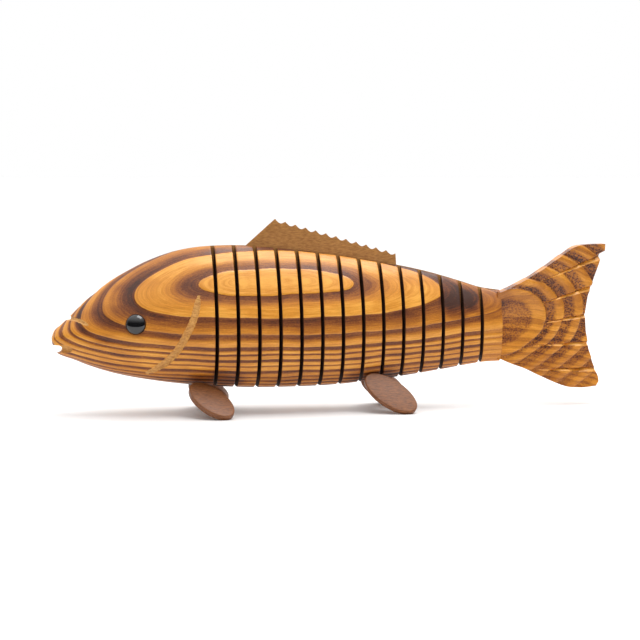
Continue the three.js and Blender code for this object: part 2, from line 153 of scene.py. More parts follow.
# distance from the pith, the same sum for points and for shader sockets
def ringRadius(x, y, z, wave):
    s = (x - tree["middleX"]) * (1 / tree["stretch"])
    across = y - polynomial(tree["pithY"], s)
    up = (z - polynomial(tree["pithZ"], s)) * tree["squeeze"]
    ripple = wave(x * 0.11 + z * 0.16) * 0.22 + wave(x * 0.29 - z * 0.1 + y * 0.2) * 0.1
    return (across ** 2 + up ** 2) ** 0.5 + polynomial(tree["drift"], s) + ripple


def smoothStep(low, high, value):
    t = np.clip((value - low) / (high - low), 0, 1)
    return t * t * (3 - 2 * t)


# 0 in the soft dark wood of a ring, 1 in its hard light wood
def ringTone(radius):
    count = np.interp(radius, ringEnds, np.arange(len(ringEnds)))
    ring = np.clip(np.floor(count).astype(int), 0, len(tree["rings"]) - 1)
    dark, light, darkUntil, lightFrom = np.array(tree["rings"], float)[ring, 1:].T
    phase = count - ring
    rise = smoothStep(darkUntil, lightFrom, phase)
    fall = smoothStep(tree["fallFrom"], 1.0, phase) * (ring > 0)
    return (dark + (light - dark) * rise) * (1 - fall) + dark * fall


def grainHeight(points):
    radius = ringRadius(points[:, 0], points[:, 1], points[:, 2], np.sin)
    return tree["brushDepth"] * (ringTone(radius) - 1)


# modelling helpers

def dropSelection():
    if bpy.context.object and bpy.context.object.mode != "OBJECT":
        bpy.ops.object.mode_set(mode="OBJECT")
    bpy.ops.object.select_all(action="DESELECT")


def pick(*pieces):
    dropSelection()
    for piece in pieces:
        piece.select_set(True)
    bpy.context.view_layer.objects.active = pieces[-1]
    return pieces[-1]


def named(name):
    piece = bpy.context.object
    piece.name = name
    piece.data.name = name
    return piece


# writes the object's place, turn and size into its mesh
def settle(piece):
    pick(piece)
    bpy.ops.object.transform_apply(location=True, rotation=True, scale=True)
    return piece


def readPoints(piece):
    flat = np.zeros(len(piece.data.vertices) * 3, np.float32)
    piece.data.vertices.foreach_get("co", flat)
    return flat.reshape(-1, 3).astype(float)


def writePoints(piece, points):
    piece.data.vertices.foreach_set("co", points.astype(np.float32).ravel())
    piece.data.update()


def editMesh(piece, *steps):
    pick(piece)
    bpy.ops.object.mode_set(mode="EDIT")
    for step in steps:
        step()
    bpy.ops.object.mode_set(mode="OBJECT")
    return piece


def selectAll():
    bpy.ops.mesh.select_all(action="SELECT")


def facesOut():
    selectAll()
    bpy.ops.mesh.normals_make_consistent(inside=False)


# selects the border edges and closes each ring of them with a face
def closeEnds():
    bpy.ops.mesh.select_mode(type="EDGE")
    bpy.ops.mesh.select_all(action="DESELECT")
    bpy.ops.mesh.select_non_manifold(extend=False, use_wire=False, use_multi_face=False,
                                     use_non_contiguous=False, use_verts=False)
    bpy.ops.mesh.edge_face_add()


# a flat grid rolled into a tube: place gives the points from their station 0 to 1 and their angle
def rollSheet(name, along, around, place):
    dropSelection()
    bpy.ops.mesh.primitive_grid_add(x_subdivisions=along, y_subdivisions=around, size=2)
    piece = named(name)
    flat = readPoints(piece)
    points = place((flat[:, 0] + 1) / 2, (flat[:, 1] + 1) * math.pi)
    writePoints(piece, points * mm)

    def sewSeam():
        selectAll()
        bpy.ops.mesh.remove_doubles(threshold=2e-7)
    return editMesh(piece, sewSeam, closeEnds, facesOut)


def smoothPiece(piece, degrees=38):
    pick(piece)
    bpy.ops.object.shade_smooth_by_angle(angle=math.radians(degrees))
    return piece


# cuts tools out of a piece, or joins them to it; the tools are used up
def combine(piece, tools, operation="DIFFERENCE"):
    tool = tools[0]
    if len(tools) > 1:
        tool = pick(*tools)
        bpy.ops.object.join()
    pick(piece)
    bpy.ops.object.modifier_add(type="BOOLEAN")
    change = piece.modifiers[-1]
    change.operation = operation
    change.solver = "EXACT"
    change.object = tool
    bpy.ops.object.modifier_apply(modifier=change.name)
    bpy.data.objects.remove(tool)
    return piece


def mirroredCopy(piece, name):
    pick(piece)
    bpy.ops.object.duplicate()
    copy = named(name)
    copy.scale.y = -1
    settle(copy)
    return editMesh(copy, facesOut)


def coat(piece, *finishes):
    for finish in finishes:
        piece.data.materials.append(finish)
    return piece


def paintFaces(piece, slotIndex, choose):
    for face in piece.data.polygons:
        if choose(face):
            face.material_index = slotIndex


# shader sums written as plain expressions

class Wire:
    def __init__(self, bench, socket):
        self.bench, self.socket = bench, socket

    def sum(self, operation, *values):
        inputs = dict(enumerate(values))
        return self.bench.node("ShaderNodeMath", {"operation": operation}, inputs)

    def __add__(self, other): return self.sum("ADD", self, other)
    def __radd__(self, other): return self.sum("ADD", other, self)
    def __sub__(self, other): return self.sum("SUBTRACT", self, other)
    def __rsub__(self, other): return self.sum("SUBTRACT", other, self)
    def __mul__(self, other): return self.sum("MULTIPLY", self, other)
    def __rmul__(self, other): return self.sum("MULTIPLY", other, self)
    def __truediv__(self, other): return self.sum("DIVIDE", self, other)
    def __pow__(self, other): return self.sum("POWER", self, other)
    def __abs__(self): return self.sum("ABSOLUTE", self)


class NodeBench:
    def __init__(self, tree):
        self.tree = tree

    def feed(self, socket, value):
        if isinstance(value, Wire):
            self.tree.links.new(value.socket, socket)
        else:
            socket.default_value = value

    # any node: its settings first, then what goes into its sockets
    def node(self, kind, settings={}, inputs={}, out=0):
        made = self.tree.nodes.new(kind)
        for key, value in settings.items():
            if key == "stops":
                self.setStops(made.color_ramp, value)
            else:
                setattr(made, key, value)
        for key, value in inputs.items():
            self.feed(made.inputs[key], value)
        return Wire(self, made.outputs[out])

    def setStops(self, ramp, stops):
        while len(ramp.elements) < len(stops):
            ramp.elements.new(1.0)
        for element, (place, colour) in zip(ramp.elements, stops):
            element.position = place
            element.color = (*colour, 1) if len(colour) == 3 else colour

    # place on the piece in mm, as three wires
    def place(self):
        spot = self.node("ShaderNodeTexCoord", out="Object")
        scaled = self.node("ShaderNodeVectorMath", {"operation": "SCALE"}, {0: spot, "Scale": 1000.0})
        split = self.node("ShaderNodeSeparateXYZ", {}, {0: scaled})
        return [Wire(self, split.socket.node.outputs[i]) for i in range(3)]

    def vector(self, x, y, z):
        return self.node("ShaderNodeCombineXYZ", {}, {0: x, 1: y, 2: z})

    def noise(self, spot, scale=1.0, detail=3.0, roughness=0.55, distortion=0.0):
        return self.node("ShaderNodeTexNoise", {}, {"Vector": spot, "Scale": scale, "Detail": detail,
                                                     "Roughness": roughness, "Distortion": distortion})

    def ramp(self, value, stops, mode="LINEAR"):
        made = self.node("ShaderNodeValToRGB", {"stops": stops}, {"Fac": value})
        made.socket.node.color_ramp.interpolation = mode
        return made

    def mapped(self, value, low, high, start=0.0, end=1.0, smooth=True):
        kind = "SMOOTHSTEP" if smooth else "LINEAR"
        return self.node("ShaderNodeMapRange", {"interpolation_type": kind},
                         {"Value": value, "From Min": low, "From Max": high, "To Min": start, "To Max": end})

    def mix(self, first, second, share, blend="MIX"):
        return self.node("ShaderNodeMix", {"data_type": "RGBA", "blend_type": blend},
                         {0: share, 6: first, 7: second}, out=2)

    def bump(self, height, strength, distance, under=None):
        inputs = {"Height": height, "Strength": strength, "Distance": distance}
        if under is not None:
            inputs["Normal"] = under
        return self.node("ShaderNodeBump", {}, inputs)


class Finish(NodeBench):
    def __init__(self, name, roughness=0.5, coatWeight=0.0, coatRoughness=0.1, specular=0.5):
        self.material = bpy.data.materials.new(name)
        self.material.use_nodes = True
        super().__init__(self.material.node_tree)
        self.shader = self.tree.nodes["Principled BSDF"]
        self.feed(self.shader.inputs["Roughness"], roughness)
        self.feed(self.shader.inputs["Coat Weight"], coatWeight)
        self.feed(self.shader.inputs["Coat Roughness"], coatRoughness)
        self.feed(self.shader.inputs["Specular IOR Level"], specular)

    def paint(self, **parts):
        for part, value in parts.items():
            self.feed(self.shader.inputs[part.replace("_", " ")], value)
        return self.material


# a colour as it looks on a screen, 0 to 255, for a shader
def shade(red, green, blue):
    def linear(level):
        level = level / 255
        return level / 12.92 if level <= 0.04045 else ((level + 0.055) / 1.055) ** 2.4
    return (linear(red), linear(green), linear(blue))


def flatShade(red, green, blue):
    return (*shade(red, green, blue), 1.0)


pineLook = {
    "stops": [(0.0, (62, 26, 6)), (0.2, (108, 52, 13)), (0.4, (150, 84, 22)), (0.6, (186, 113, 29)),
              (0.8, (217, 141, 42)), (1.0, (242, 172, 70))],
    "roughness": 0.45, "specular": 0.3, "coat": 0.4, "coatRoughness": 0.2,
    # places painted darker: x, z, reach along, reach up, strength; the two low ones at x -66 and 22 are painted
    # shade where the fins meet the belly
    "darkToned": [(-124, 50, 15, 9, 0.16), (66, 58, 9, 8, 0.3), (84, 60, 12, 12, 0.22), (50, 76, 26, 8, 0.14),
                 (-66, 18, 14, 5, 0.3), (22, 18, 16, 4, 0.3), (-95, 62, 22, 9, 0.1)],
}


# torched and brushed pine under varnish, its bands drawn by the growth rings; the tail's is also carved
def torchedPine(name, carved=False):
    finish = Finish(name, pineLook["roughness"], pineLook["coat"], pineLook["coatRoughness"], pineLook["specular"])
    x, y, z = finish.place()
    radius = ringRadius(x, y, z, lambda value: value.sum("SINE", value))
    rings = len(tree["rings"])
    wander = finish.noise(finish.vector(x * 0.06, y * 0.12, z * 0.12), 1.0, 3.0, 0.6) - 0.5
    radius = radius + wander * 0.5
    stops = [(end / outermost, (i / rings,) * 3) for i, end in enumerate(ringEnds)]
    count = finish.ramp(radius * (1 / outermost), stops) * rings
    phase = count.sum("FRACT", count)
    dark, light, darkUntil, lightFrom = [
        finish.ramp(count * (1 / rings), [(i / rings, (ring[part],) * 3) for i, ring in enumerate(tree["rings"])],
                    "CONSTANT") for part in (1, 2, 3, 4)]
    rise = finish.mapped(phase, darkUntil, lightFrom)
    fall = finish.mapped(phase, tree["fallFrom"], 1.0)
    tone = (dark + (light - dark) * rise) * (1 - fall) + dark * fall
    # streaks run along the rings, fibres along the fish, and the torch leaves cloudy patches
    streaks = finish.noise(finish.vector(x * 0.04, radius * 0.8, y * 0.04), 1.0, 4.0, 0.6) - 0.5
    lines = finish.noise(finish.vector(x * 0.1, radius * 2.6, 4.0), 1.0, 3.0, 0.65) - 0.5
    clouds = finish.noise(finish.vector(x * 0.045, y * 0.08, z * 0.08), 1.0, 2.0, 0.5) - 0.5
    pores = finish.noise(finish.vector(x * 0.8, y * 1.8, z * 1.8), 1.4, 3.0, 0.65) - 0.5
    if carved:
        tone = 0.72 + (tone - 0.6) * 0.35
    value = tone * 0.9 + 0.05 + streaks * 0.4 + lines * 0.6 + clouds * 0.4 + pores * (1.25 - tone) * 0.62
    # darker patches; the two on the belly over the fins' roots are painted shade
    for spotX, spotZ, reachX, reachZ, strength in pineLook["darkToned"]:
        away = ((x - spotX) * (1 / reachX)) ** 2 + ((z - spotZ) * (1 / reachZ)) ** 2
        value = value - finish.mapped(away + clouds * 2, 0.2, 1.8, strength, 0)
    height = tone * 0.7 + lines * 0.7 + pores * (1.3 - tone) * 0.9 + streaks * 0.4
    if carved:
        burnt = finish.node("ShaderNodeAttribute", {"attribute_name": "burnt"}, out="Fac")
        fresh = finish.node("ShaderNodeAttribute", {"attribute_name": "fresh"}, out="Fac")
        pits = finish.node("ShaderNodeTexVoronoi", {"feature": "F1"},
                           {"Vector": finish.vector(x * 0.95, y * 0.6, z * 1.15), "Scale": 1.0})
        rim = finish.mapped(pits, 0.25, 0.62)
        # the tail's dark attribute darkens the scale pits and the scoop and paints shade on the ray cuts' upper
        # walls; the fresh attribute lightens bare cuts
        value = value - burnt * (0.62 - rim * 0.34) + fresh * 0.3
        height = height * (1 - fresh) + burnt * rim * 2.2
    colour = finish.ramp(value, [(spot, shade(*tint)) for spot, tint in pineLook["stops"]])
    relief = finish.bump(height, 0.55, 0.0004)
    gloss = 0.4 + (1 - tone) * 0.12 + pores * 0.2
    return finish.paint(Base_Color=colour, Roughness=gloss, Normal=relief)


# bare wood as the saw or the gouge left it
def sawnWood(name, dark, light, roughness):
    finish = Finish(name, roughness)
    x, y, z = finish.place()
    fibres = finish.noise(finish.vector(x * 0.4, y * 1.6, z * 1.6), 1.0, 4.0, 0.65)
    colour = finish.ramp(fibres, [(0.3, shade(*dark)), (0.7, shade(*light))])
    return finish.paint(Base_Color=colour, Normal=finish.bump(fibres, 0.4, 0.0005))


def blackBead(name):
    finish = Finish(name, 0.04, 0.6, 0.02)
    x, y, z = finish.place()
    haze = finish.noise(finish.vector(x, y, z), 0.5, 2.0)
    colour = finish.ramp(haze, [(0.3, shade(5, 5, 7)), (0.8, shade(12, 12, 15))])
    return finish.paint(Base_Color=colour, Roughness=haze * 0.04 + 0.02)


finishes = {
    "pine": torchedPine("torched brushed pine"),
    "carved": torchedPine("carved tail pine", True),
    # dark browns for the faces inside the saw cuts, kerfs and drilled holes: the torched wood's colour darkened
    # further with painted shade of the narrow cuts
    "sawn": sawnWood("saw cut with painted shade", (34, 17, 9), (84, 46, 24), 0.75),
    "gouged": sawnWood("fresh gouge cut", (176, 112, 48), (232, 178, 98), 0.55),
    "bead": blackBead("black bead"),
    "leather": sawnWood("strip leather", (140, 88, 34), (188, 132, 66), 0.5),
    "finWood": sawnWood("scorched fin board", (96, 52, 24), (150, 92, 44), 0.4),
}
woodSet = [finishes["pine"], finishes["sawn"], finishes["gouged"]]
tailSet = [finishes["carved"], finishes["sawn"], finishes["gouged"]]
print("finishes mixed")


# stations of a stretch, closer together at rounded ends
def stretchStations(start, end, roundStart, roundEnd, step):
    marks = (0.0, 0.06, 0.16, 0.3, 0.5)
    edge = body["edgeRound"]
    xs = list(np.linspace(start + edge * roundStart, end - edge * roundEnd, int((end - start) / step)))
    if roundStart:
        xs = [start + 2 * edge * mark for mark in marks[:-1]] + xs
    if roundEnd:
        xs = xs + [end - 2 * edge * mark for mark in reversed(marks[:-1])]
    return np.array(xs)


# the skin of one stretch of the body, with its sawn edges rubbed round and the soft wood brushed out
def skinStretch(name, start, end, roundStart=True, roundEnd=True, step=None, relief=True):
    xs = stretchStations(start, end, roundStart, roundEnd, step or body["ringStep"])
    edge = body["edgeRound"]

    def shrink(x):
        depth = np.full_like(x, edge)
        if roundStart:
            depth = np.minimum(depth, x - start)
        if roundEnd:
            depth = np.minimum(depth, end - x)
        return -(edge - np.sqrt(np.maximum(edge ** 2 - (edge - depth) ** 2, 0)))

    def place(share, turn):
        x = np.interp(share, np.linspace(0, 1, len(xs)), xs)
        angle = np.interp(turn / (2 * math.pi), roundShares, roundAngles)
        points = skinPoint(x, angle, shrink(x))
        if not relief:
            return points
        forward = skinPoint(x + 0.2, angle) - skinPoint(x - 0.2, angle)
        turned = skinPoint(x, angle + 0.01) - skinPoint(x, angle - 0.01)
        outward = np.cross(turned, forward)
        outward[:, 0] *= smoothStep(0, 1, np.minimum(x - start, end - x))    # the ends stay flat
        outward /= np.maximum(np.linalg.norm(outward, axis=1, keepdims=True), 1e-9)
        middle = np.stack([x, np.zeros_like(x), widestZ(x)], -1)
        outward *= np.sign(np.sum(outward * (points - middle), axis=1, keepdims=True))
        return points + outward * grainHeight(points)[:, None]
    return rollSheet(name, len(xs) - 1, body["sides"], place)


strip = {"thick": 1.6, "front": -88.0, "rear": 88.5, "aboveBelly": 6.0, "belowBack": 0.3, "kerfRoom": 0.1}


# block that saws the kerf for the strip, between two stations
def kerfBlade(start, end):
    low = float(bellyZ((start + end) / 2)) + strip["aboveBelly"] - 0.3
    high = 120.0
    dropSelection()
    bpy.ops.mesh.primitive_cube_add(size=mm, location=((start + end) / 2 * mm, 0, (low + high) / 2 * mm))
    blade = named("kerfBlade")
    blade.scale = (end - start, strip["thick"] + strip["kerfRoom"], high - low)
    settle(blade)
    coat(blade, *woodSet)
    paintFaces(blade, 1, lambda face: True)
    return blade


eye = {"x": -107.4, "z": 49.3, "radius": 5.2, "rise": 2.8, "seat": 1.6, "room": 0.15, "rim": 0.55}
mouth = {"x": -146.8, "z": 35.8, "radius": 2.15, "cornerX": -144.6, "cornerRadius": 3.6,
         "cornerLong": 1.35, "cornerTall": 0.72}
brow = {"line": [(-131.6, -12.6, 49.0), (-136.2, -8.6, 51.2), (-139.4, -5.2, 52.2), (-141.4, 0, 51.9),
                 (-139.4, 5.2, 52.2), (-136.2, 8.6, 51.2), (-131.6, 12.6, 49.0)], "radius": 1.6}
gill = {"line": [(-74.2, 66.5, 2.4), (-75.6, 60, 1.3), (-77.4, 53, 0.7), (-80.8, 45.3, 0.55),
                 (-86.5, 35.5, 0.5), (-92, 29.4, 0.6), (-97.4, 25.5, 1.0), (-103, 22.6, 2.2)], "radius": 2.1,
        "tooth": 0.12, "toothPitch": 2.3}


# a gouge stroke: a tube along a smooth line, with the marks of the tool along it
def gougeStroke(name, line, radius, tooth=0.0, toothPitch=1.0, steps=120, sides=20):
    line = np.array(line, float)
    chord = np.concatenate([[0], np.cumsum(np.linalg.norm(np.diff(line, axis=0), axis=1))])
    ways = [through(list(zip(chord, line[:, axis]))) for axis in range(3)]

    def place(share, angle):
        s = share * chord[-1]
        spot = np.stack([way(s) for way in ways], -1)
        ahead = np.stack([way(s + 0.1) - way(s - 0.1) for way in ways], -1)
        ahead /= np.maximum(np.linalg.norm(ahead, axis=1, keepdims=True), 1e-9)
        side = np.cross(ahead, np.array([0, 1, 0.3]))
        side /= np.linalg.norm(side, axis=1, keepdims=True)
        up = np.cross(ahead, side)
        size = radius + tooth * np.sin(s * 2 * math.pi / toothPitch + 2 * np.sin(angle))
        return spot + (side * np.cos(angle)[:, None] + up * np.sin(angle)[:, None]) * size[:, None]
    stroke = rollSheet(name, steps, sides, place)
    coat(stroke, *woodSet)
    paintFaces(stroke, 2, lambda face: True)
    return stroke


# places something made upright at the origin so that it stands out of the left flank at the eye
def standAtEye(piece):
    spot = Vector((eye["x"], -float(skinY(eye["x"], eye["z"])), eye["z"])) * mm
    piece.rotation_mode = "QUATERNION"
    piece.rotation_quaternion = Vector((0, 0, 1)).rotation_difference(skinNormal(eye["x"], eye["z"]))
    piece.location = spot
    return settle(piece)


def eyeSocket():
    radius = eye["radius"] + eye["room"]
    dropSelection()
    bpy.ops.mesh.primitive_cylinder_add(vertices=64, radius=radius * mm, depth=2 * (eye["seat"] + 0.3) * mm)
    drill = named("eyeDrill")

    def flare():       # sets face select mode and clears the selection; the top is not widened
        bpy.ops.mesh.select_mode(type="FACE")
        bpy.ops.mesh.select_all(action="DESELECT")
    editMesh(drill, flare)
    settle(drill)
    coat(drill, *woodSet)
    paintFaces(drill, 1, lambda face: True)
    return standAtEye(drill)


def mouthTools():
    side = 60 * mm
    dropSelection()
    bpy.ops.mesh.primitive_cylinder_add(vertices=48, radius=mouth["radius"] * mm, depth=side,
                                        location=(mouth["x"] * mm, 0, mouth["z"] * mm),
                                        rotation=(math.pi / 2, 0, 0))
    throat = settle(named("throatBore"))
    dropSelection()
    bpy.ops.mesh.primitive_cube_add(size=mm, location=((mouth["x"] - 2 * mouth["radius"]) * mm, 0, mouth["z"] * mm))
    front = named("mouthFront")
    front.scale = (mouth["radius"] * 4, 60, mouth["radius"] * 2)
    settle(front)
    corners = []
    for way in (-1, 1):
        y = way * (float(skinY(mouth["cornerX"], mouth["z"])) + mouth["cornerRadius"] / 2)
        dropSelection()
        bpy.ops.mesh.primitive_uv_sphere_add(segments=48, ring_count=24, radius=mouth["cornerRadius"] * mm,
                                             location=(mouth["cornerX"] * mm, y * mm, mouth["z"] * mm))
        corner = named("mouthCorner")
        corner.scale = (mouth["cornerLong"], 1, mouth["cornerTall"])
        corners.append(settle(corner))
    for tool in (throat, front, *corners):
        coat(tool, *woodSet)
        paintFaces(tool, 2, lambda face: True)
    return throat, front, corners


def makeHead():
    start, end = body["snout"], slotX[0] - body["slotWidth"] / 2
    head = skinStretch("headBlock", start, end, True, True)
    coat(head, *woodSet)
    paintFaces(head, 1, lambda face: face.normal.x > 0.9 and face.center.x > (end - 0.3) * mm)
    gillPoints = []
    for x, z, lift in gill["line"]:
        spot = Vector((x, -float(skinY(x, z)), z)) + skinNormal(x, z) * lift
        gillPoints.append(tuple(spot))
    gillLeft = gougeStroke("gillLeft", gillPoints, gill["radius"], gill["tooth"], gill["toothPitch"])
    gillRight = mirroredCopy(gillLeft, "gillRight")
    browStroke = gougeStroke("browStroke", brow["line"], brow["radius"], 0.05, 2.0)
    socketLeft = eyeSocket()
    socketRight = mirroredCopy(socketLeft, "eyeDrillRight")
    throat, front, corners = mouthTools()
    kerf = kerfBlade(strip["front"], end + 2)
    combine(head, [gillLeft, gillRight, browStroke, socketLeft, socketRight, throat, kerf])
    combine(head, [front])
    combine(head, corners)
    smoothPiece(head)
    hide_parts("head")
    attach(head, "head")
    return head


def makeSlice(number):
    start = slotX[number - 1] + body["slotWidth"] / 2
    end = slotX[number] - body["slotWidth"] / 2
    piece = skinStretch(f"bodySlice{number:02d}", start, end)
    coat(piece, *woodSet)
    paintFaces(piece, 1, lambda face: abs(face.normal.x) > 0.9)
    combine(piece, [kerfBlade(start - 2, end + 2)])
    smoothPiece(piece)
    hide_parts(f"slice_{number:02d}")
    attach(piece, f"slice_{number:02d}")


makeHead()
print("head carved")
for number in range(1, body["slices"] + 1):
    makeSlice(number)
print("slices sawn")


# beads for eyes
def makeEyes():
    dropSelection()
    bpy.ops.mesh.primitive_uv_sphere_add(segments=64, ring_count=40, radius=eye["radius"] * mm)
    bead = named("eyeLeft")
    points = readPoints(bead) / (eye["radius"] * mm)
    points[:, 2] = np.where(points[:, 2] > 0, points[:, 2] * eye["rise"], points[:, 2] * eye["seat"])
    points[:, :2] *= eye["radius"]
    writePoints(bead, points * mm)
    standAtEye(bead)
    coat(bead, finishes["bead"])
    smoothPiece(bead, 80)
    other = mirroredCopy(bead, "eyeRight")
    for piece, node in ((bead, "eye_left"), (other, "eye_right")):
        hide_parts(node)
        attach(piece, "head")


makeEyes()
print("eyes set")

# the carved tail: side view and relief, in mm
fan = {
    "rootX": 89.3, "inset": 1.4, "rootHalf": 4.4, "endHalf": 3.3, "endX": 150, "along": 170, "up": 190,
    "top": [(89.3, 62.6), (91.2, 62.6), (99.3, 66.2), (108.5, 70.9), (117.7, 76.7), (126.3, 82.6), (133, 86.8),
            (140, 88.0), (150, 88.3)],
    "bottom": [(89.3, 26.0), (91.2, 26.0), (97.5, 23.3), (105.5, 20.4), (116, 15.4), (127.8, 10.5), (137, 9.4),
               (145.8, 10.2)],
    "rear": [(145.8, 10.2), (147.3, 12.6), (147.0, 15.6), (144.4, 21.4), (141.4, 30.5), (139.6, 40.7),
             (139.2, 50.6), (140.6, 60.0), (143.8, 69.2), (147.3, 80.0), (146.6, 82.8), (150, 84.6), (150, 88.3)],
    "rays": [(112.5, 67.8, 151, 83.2), (112.5, 55.6, 147, 66.4), (112.5, 45.0, 145, 50.6), (110, 33.0, 146, 34.7),
             (108.5, 19.9, 151, 19.9)],
    "rayDepth": 1.5, "rayWidth": 2.4,
    "scoop": {"x": 92, "z": 46.2, "depth": 1.7, "lip": 0.72, "lipDepth": 0.75,
              # the rim's distance in each direction, in degrees from straight back
              "reach": [(-180, 17), (-90, 17.9), (-62, 17.6), (-35, 18.9), (-8, 23.1), (14, 25.0), (34, 24.1),
                        (59, 20.7), (92, 17.2), (180, 17)]},
    "scaleWidth": 0.44, "scaleDepth": 0.95, "scaleShifts": (0.1, 0.08, 0.0, 0.03, 0.1, 0.2),
}
fanTop, fanBottom = through(fan["top"]), through(fan["bottom"])


def fanSpot(u, v):
    rear = np.array(fan["rear"], float)
    chord = np.concatenate([[0], np.cumsum(np.hypot(*np.diff(rear, axis=0).T))])
    rearX, rearZ = (np.interp(v * chord[-1], chord, rear[:, axis]) for axis in range(2))
    topX = fan["rootX"] + u * (fan["top"][-1][0] - fan["rootX"])
    bottomX = fan["rootX"] + u * (fan["bottom"][-1][0] - fan["rootX"])
    low, high = fan["bottom"][0][1], fan["top"][0][1]
    corners = [(1 - u) * (1 - v), u * (1 - v), (1 - u) * v, u * v]
    x = (1 - v) * bottomX + v * topX + (1 - u) * fan["rootX"] + u * rearX
    x -= sum(share * spot for share, spot in zip(corners, (fan["rootX"], fan["bottom"][-1][0], fan["rootX"],
                                                           fan["top"][-1][0])))
    z = (1 - v) * fanBottom(bottomX) + v * fanTop(topX) + (1 - u) * (low + (high - low) * v) + u * rearZ
    z -= sum(share * spot for share, spot in zip(corners, (low, fan["bottom"][-1][1], high, fan["top"][-1][1])))
    return x, z


# how far out from the scoop a place on the fan lies: 1 on the scoop's outer rim
def scoopShare(x, z):
    scoop = fan["scoop"]
    turn = np.degrees(np.arctan2(z - scoop["z"], x - scoop["x"]))
    return np.hypot(x - scoop["x"], z - scoop["z"]) / through(scoop["reach"])(turn)


# along and off each ray cut: share of its length, and the distance above its line
def rayPlaces(x, z):
    for startX, startZ, endX, endZ in fan["rays"]:
        length = math.hypot(endX - startX, endZ - startZ)
        alongX, alongZ = (endX - startX) / length, (endZ - startZ) / length
        share = ((x - startX) * alongX + (z - startZ) * alongZ) / length
        yield share, (z - startZ) * alongX - (x - startX) * alongZ


# the sector between two rays shifts its gouged scales a little against the next
def scaleCount(x, z):
    shift = np.full_like(x, fan["scaleShifts"][0])
    for (share, off), more in zip(rayPlaces(x, z), fan["scaleShifts"][1:]):
        shift = np.where(off < 0, more, shift)
    return (scoopShare(x, z) - 1 + shift) / fan["scaleWidth"]


def fanHeight(x, z):
    height = fan["rootHalf"] + (fan["endHalf"] - fan["rootHalf"]) * (x - body["tailRoot"]) / 58.8
    scoop, away, scales = fan["scoop"], scoopShare(x, z), scaleCount(x, z)
    bowl = scoop["depth"] * (1 - (np.minimum(away, scoop["lip"]) / scoop["lip"]) ** 2) + scoop["lipDepth"]
    rim = scoop["lipDepth"] * (1 - smoothStep(scoop["lip"], 0.97, away))
    phase = scales - np.floor(scales)
    scale = fan["scaleDepth"] * (1 - smoothStep(0.05, 0.8, phase) + smoothStep(0.93, 1.0, phase))
    edge = smoothStep(1.0, 1.04, away)
    height = height - np.where(away < scoop["lip"], bowl, rim) * (1 - edge) - scale * edge
    for share, off in rayPlaces(x, z):
        wide = fan["rayWidth"] * np.clip(share, 0.01, 1)
        wall = np.where(off > 0, off / (wide * 0.4), -off / wide)
        cut = np.clip(share * 1.6, 0, 1) * fan["rayDepth"] * np.clip(1 - wall, 0, 1)
        height = np.minimum(height, height - cut)
    return height


# where the tail is charred dark, with painted shade on the downward-facing upper wall of each ray cut, and where
# the knife has laid it bare, from 0 to 1
def fanShades(x, z):
    away, scales = scoopShare(x, z), scaleCount(x, z)
    phase = scales - np.floor(scales)
    lower = smoothStep(16, 40, z + (x - 120) * 0.1)
    burnt = (1 - smoothStep(0.4, 0.62, phase)) * (0.35 + 0.65 * lower)
    burnt = np.where(away < 1, 0.62 * (1 - smoothStep(0.64, 0.74, away)), burnt)
    fresh = np.zeros_like(x)
    for share, off in rayPlaces(x, z):
        wide = fan["rayWidth"] * np.clip(share, 0.01, 1)
        inside = (share > 0) & (off < wide * 0.4) & (off > -wide)
        fresh = np.where(inside & (off < 0), 1.0, fresh)
        # the upper wall of each ray cut faces down and is painted dark as shade; the lower facet is fresh bare wood
        burnt = np.where(inside, np.where(off > 0, 0.7, 0.0), burnt)
    return burnt, fresh


def makeFan():
    dropSelection()
    bpy.ops.mesh.primitive_grid_add(x_subdivisions=fan["along"], y_subdivisions=fan["up"], size=2)
    piece = named("tailFan")
    count = len(piece.data.vertices)
    flat = readPoints(piece)
    u, v = (flat[:, 0] + 1) / 2, (flat[:, 1] + 1) / 2
    x, z = fanSpot(u, v)
    height = fanHeight(x, z)

    def thicken():
        selectAll()
        bpy.ops.mesh.extrude_region_move(TRANSFORM_OT_translate={"value": (0, 0, 0.01)})
    editMesh(piece, thicken)
    points = readPoints(piece)
    order = np.argsort(np.round((points[:, 0] + 1) * 1e5) * 1e6 + np.round((points[:, 1] + 1) * 1e5), kind="stable")
    fromFlat = np.argsort(np.round((flat[:, 0] + 1) * 1e5) * 1e6 + np.round((flat[:, 1] + 1) * 1e5), kind="stable")
    partner = np.empty(len(points), int)
    partner[order] = np.repeat(fromFlat, 2)
    upper = points[:, 2] > 0.005
    side = np.where(upper, 1.0, -1.0)
    writePoints(piece, np.stack([x[partner], side * height[partner], z[partner]], -1) * mm)
    return editMesh(piece, facesOut)


def setShade(piece, name, values):
    layer = piece.data.attributes.new(name, "FLOAT", "POINT")
    layer.data.foreach_set("value", values.astype(np.float32))


def makeTail():
    start = slotX[-1] + body["slotWidth"] / 2
    tail = skinStretch("tailBlock", start, body["tailRoot"], True, True)
    coat(tail, *tailSet)
    paintFaces(tail, 1, lambda face: face.normal.x < -0.9)
    combine(tail, [kerfBlade(start - 2, strip["rear"] + 0.3)])
    fanPiece = makeFan()
    coat(fanPiece, *tailSet)
    combine(tail, [fanPiece], "UNION")
    points = readPoints(tail) / mm
    onFan = points[:, 0] > body["tailRoot"] + 0.02
    # the dark attribute holds the char and the painted shade of the ray cuts' upper walls
    burnt, fresh = fanShades(points[:, 0], points[:, 2])
    setShade(tail, "burnt", np.where(onFan, burnt, 0))
    setShade(tail, "fresh", np.where(onFan, fresh, 0))
    smoothPiece(tail)
    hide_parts("tail")
    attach(tail, "tail")


makeTail()
print("tail carved")

# the leather strip with its dorsal fin, in lengths that each span one saw cut, divided at the middles of the slices
dorsal = {
    "frontFoot": (-48.3, 88.9), "peak": (-32.2, 102.8), "rear": (33.5, 84.2), "rearFoot": (31.9, 78.2),
    "teeth": 13, "dip": 1.6, "step": 0.42, "rows": 26, "edge": 0.35,
}


